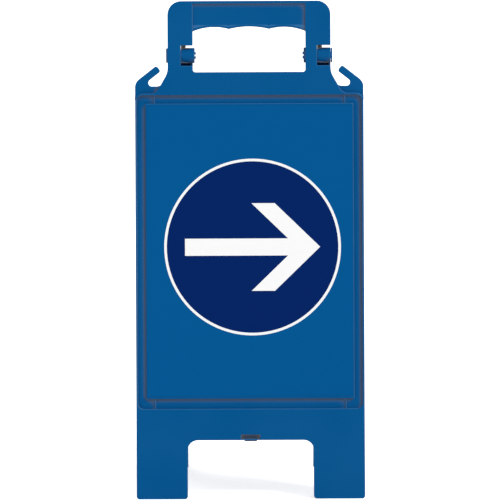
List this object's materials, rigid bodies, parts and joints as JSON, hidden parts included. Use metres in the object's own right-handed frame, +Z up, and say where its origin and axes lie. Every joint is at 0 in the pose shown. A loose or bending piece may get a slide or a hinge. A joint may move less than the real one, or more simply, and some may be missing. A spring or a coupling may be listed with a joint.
{
  "type": "a-frame warning sign",
  "caption": "Folding a-frame warning sign: two moulded panels hinged under a carrying handle, printed sheets with an arrow in a round, shoulder hooks, open between the legs.",
  "frame": {"origin": "on the floor, midway between the four feet of the open sign", "axes": "+Z up, -Y towards the viewer of the front panel, +X to that viewer's right, along the hinge axis"},
  "size_m": [0.33, 0.2726, 0.708],
  "materials": {
    "panel_plastic": "fine-grained moulded polypropylene, mid blue",
    "sheet_print": "printed sheet, mid blue, satin",
    "navy_film": "cut film, navy, satin",
    "white_film": "cut film, white, satin"
  },
  "bodies": {
    "front": {"front_panel": "panel_plastic", "left_hinge_pin": "panel_plastic", "right_hinge_pin": "panel_plastic", "front_sheet": "sheet_print", "front_white_round": "white_film", "front_navy_round": "navy_film", "front_arrow": "white_film"},
    "back": {"back_panel": "panel_plastic", "back_sheet": "sheet_print", "back_white_round": "white_film", "back_navy_round": "navy_film", "back_arrow": "white_film"}
  },
  "joints": [
    {"name": "fold", "type": "hinge", "parent": "front", "child": "back", "pos_m": [0, -0.01269, 0.62909], "axis": [-1, 0, 0], "range_deg": [0, 20]}
  ]
}
